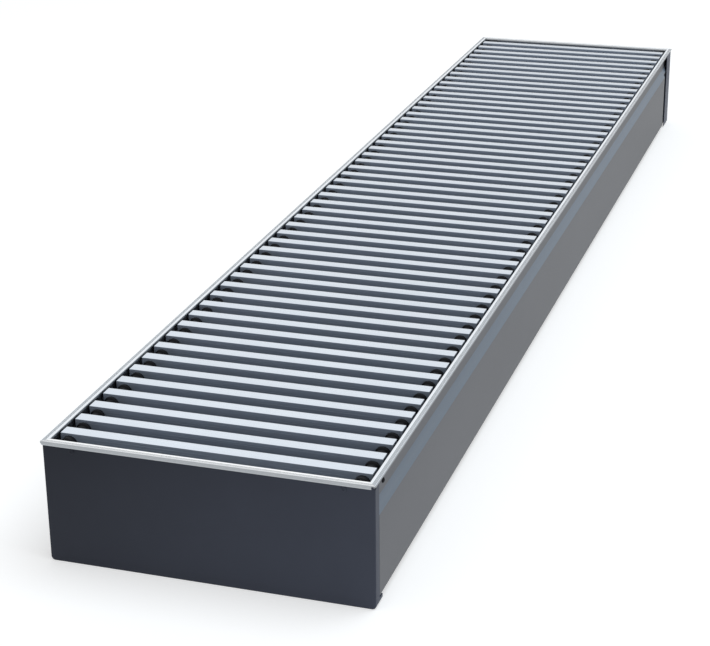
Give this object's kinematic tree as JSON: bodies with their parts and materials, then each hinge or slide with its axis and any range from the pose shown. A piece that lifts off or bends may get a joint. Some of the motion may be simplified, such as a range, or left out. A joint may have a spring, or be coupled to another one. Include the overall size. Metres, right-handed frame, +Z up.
{
  "type": "trench convector heater",
  "caption": "Floor trench convector: folded steel tray and end panels, mitred aluminium edge frame, roll-up cross-slat grille, finned copper exchanger and its valves.",
  "frame": {"origin": "middle of the footprint, on the ground that the end panels stand on", "axes": "+X along the trench towards the connection end, +Y across it to the left seen from the plain end, +Z up through the grille"},
  "size_m": [1.2, 0.232, 0.09],
  "materials": {
    "panel_paint": "satin powder coat, anthracite",
    "tray_paint": "satin powder coat, mid grey",
    "frame_aluminium": "fine satin anodised",
    "slat_aluminium": "fine satin anodised",
    "spacer_plastic": "matt moulded, black",
    "damper_rubber": "matt",
    "spring_steel": "bright drawn",
    "fin_aluminium": "black dip coat",
    "copper": "drawn copper tube",
    "nickel_brass": "nickel plated",
    "white_plastic": "moulded, white",
    "black_plastic": "moulded, black",
    "zinc_steel": "zinc plated"
  },
  "bodies": {
    "root": {"tray": "tray_paint", "end_panel_near": "panel_paint", "end_panel_far": "panel_paint", "rivet_near_right": "zinc_steel", "rivet_near_left": "zinc_steel", "rivet_far_right": "zinc_steel", "rivet_far_left": "zinc_steel", "frame_rail_right": "frame_aluminium", "frame_rail_left": "frame_aluminium", "frame_rail_near": "frame_aluminium", "frame_rail_far": "frame_aluminium", "corner_angle_near_right": "zinc_steel", "corner_angle_near_left": "zinc_steel", "corner_angle_far_right": "zinc_steel", "corner_angle_far_left": "zinc_steel", "damper_strip_right": "damper_rubber", "damper_strip_left": "damper_rubber", "exchanger_tube": "copper", "exchanger_fins": "fin_aluminium", "exchanger_bracket_near": "zinc_steel", "exchanger_bracket_far": "zinc_steel", "air_guide_right": "tray_paint", "air_guide_left": "tray_paint", "cross_brace_near": "zinc_steel", "cross_brace_far": "zinc_steel", "union_nut_supply": "nickel_brass", "union_nut_return": "nickel_brass", "supply_valve_body": "nickel_brass", "return_valve_body": "nickel_brass"},
    "grille": {"grille_mat": "slat_aluminium", "grille_spring_right": "spring_steel", "grille_spring_left": "spring_steel"},
    "slat_link_06": {"slat_06": "slat_aluminium", "spacer_right_06": "spacer_plastic", "spacer_left_06": "spacer_plastic"},
    "slat_link_05": {"slat_05": "slat_aluminium", "spacer_right_05": "spacer_plastic", "spacer_left_05": "spacer_plastic"},
    "slat_link_04": {"slat_04": "slat_aluminium", "spacer_right_04": "spacer_plastic", "spacer_left_04": "spacer_plastic"},
    "slat_link_03": {"slat_03": "slat_aluminium", "spacer_right_03": "spacer_plastic", "spacer_left_03": "spacer_plastic"},
    "slat_link_02": {"slat_02": "slat_aluminium", "spacer_right_02": "spacer_plastic", "spacer_left_02": "spacer_plastic"},
    "slat_link_01": {"slat_01": "slat_aluminium", "spacer_right_01": "spacer_plastic", "spacer_left_01": "spacer_plastic", "end_cap_right": "spacer_plastic", "end_cap_left": "spacer_plastic"},
    "supply_cap": {"supply_valve_cap": "white_plastic"},
    "return_cap": {"return_valve_cap": "black_plastic"},
    "bleed": {"bleed_screw": "nickel_brass"},
    "level_near_right": {"level_screw_near_right": "zinc_steel"},
    "level_near_left": {"level_screw_near_left": "zinc_steel"},
    "level_far_right": {"level_screw_far_right": "zinc_steel"},
    "level_far_left": {"level_screw_far_left": "zinc_steel"}
  },
  "joints": [
    {"name": "grille_lift", "type": "slide", "parent": "root", "child": "grille", "axis": [0, 0, 1], "range_m": [0, 0.12]},
    {"name": "slat_roll_06", "type": "hinge", "parent": "grille", "child": "slat_link_06", "pos_m": [-0.45025, 0, 0.08758], "axis": [0, 1, 0], "range_deg": [0, 20]},
    {"name": "slat_roll_05", "type": "hinge", "parent": "slat_link_06", "child": "slat_link_05", "pos_m": [-0.47245, 0, 0.08758], "axis": [0, 1, 0], "range_deg": [0, 20]},
    {"name": "slat_roll_04", "type": "hinge", "parent": "slat_link_05", "child": "slat_link_04", "pos_m": [-0.49465, 0, 0.08758], "axis": [0, 1, 0], "range_deg": [0, 20]},
    {"name": "slat_roll_03", "type": "hinge", "parent": "slat_link_04", "child": "slat_link_03", "pos_m": [-0.51685, 0, 0.08758], "axis": [0, 1, 0], "range_deg": [0, 20]},
    {"name": "slat_roll_02", "type": "hinge", "parent": "slat_link_03", "child": "slat_link_02", "pos_m": [-0.53905, 0, 0.08758], "axis": [0, 1, 0], "range_deg": [0, 20]},
    {"name": "slat_roll_01", "type": "hinge", "parent": "slat_link_02", "child": "slat_link_01", "pos_m": [-0.56125, 0, 0.08758], "axis": [0, 1, 0], "range_deg": [0, 20]},
    {"name": "supply_cap_turn", "type": "hinge", "parent": "root", "child": "supply_cap", "pos_m": [0.4873, -0.025, 0.06], "axis": [0, 0, 1], "range_deg": [0, 330]},
    {"name": "return_cap_turn", "type": "hinge", "parent": "root", "child": "return_cap", "pos_m": [0.4873, 0.025, 0.06], "axis": [0, 0, 1], "range_deg": [0, 720]},
    {"name": "bleed_turn", "type": "hinge", "parent": "root", "child": "bleed", "pos_m": [0.5073, 0.025, 0.053], "axis": [0, 0, 1], "range_deg": [0, 360]},
    {"name": "level_near_right_travel", "type": "slide", "parent": "root", "child": "level_near_right", "axis": [0, 0, -1], "range_m": [0, 0.02]},
    {"name": "level_near_left_travel", "type": "slide", "parent": "root", "child": "level_near_left", "axis": [0, 0, -1], "range_m": [0, 0.02]},
    {"name": "level_far_right_travel", "type": "slide", "parent": "root", "child": "level_far_right", "axis": [0, 0, -1], "range_m": [0, 0.02]},
    {"name": "level_far_left_travel", "type": "slide", "parent": "root", "child": "level_far_left", "axis": [0, 0, -1], "range_m": [0, 0.02]}
  ],
  "couplings": [
    {"joint": "slat_roll_05", "follows": "slat_roll_06", "ratio": 1},
    {"joint": "slat_roll_04", "follows": "slat_roll_06", "ratio": 1},
    {"joint": "slat_roll_03", "follows": "slat_roll_06", "ratio": 1},
    {"joint": "slat_roll_02", "follows": "slat_roll_06", "ratio": 1},
    {"joint": "slat_roll_01", "follows": "slat_roll_06", "ratio": 1}
  ]
}
